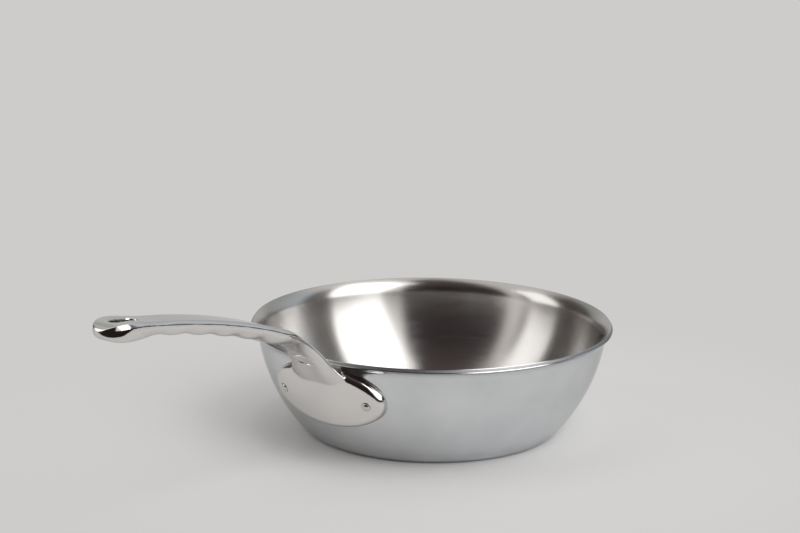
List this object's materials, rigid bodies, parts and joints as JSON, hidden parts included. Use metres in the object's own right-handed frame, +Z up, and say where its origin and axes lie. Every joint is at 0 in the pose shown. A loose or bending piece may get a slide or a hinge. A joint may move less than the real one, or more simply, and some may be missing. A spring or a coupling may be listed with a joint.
{
  "type": "saucier pan",
  "caption": "Round-sided pan of layered metal sheet with a flared pouring lip, a broad flat foot and a long cast handle riveted on through an oval plate.",
  "frame": {"origin": "centre of the flat foot, on the surface that the pan stands on", "axes": "+Z up along the pan's axis, -X out along the handle"},
  "size_m": [0.445, 0.2498, 0.1368],
  "materials": {
    "inner_steel": "stainless steel brushed round the axis",
    "core_aluminium": "plain, seen only at the cut edge of the lip",
    "outer_steel": "stainless steel with a soft satin polish",
    "cast_steel": "cast stainless steel, polished bright",
    "rivet_steel": "stainless steel, polished bright"
  },
  "bodies": {
    "root": {"inner_skin": "inner_steel", "core": "core_aluminium", "outer_skin": "outer_steel", "handle": "cast_steel", "rivet_left": "rivet_steel", "rivet_right": "rivet_steel"}
  },
  "joints": []
}
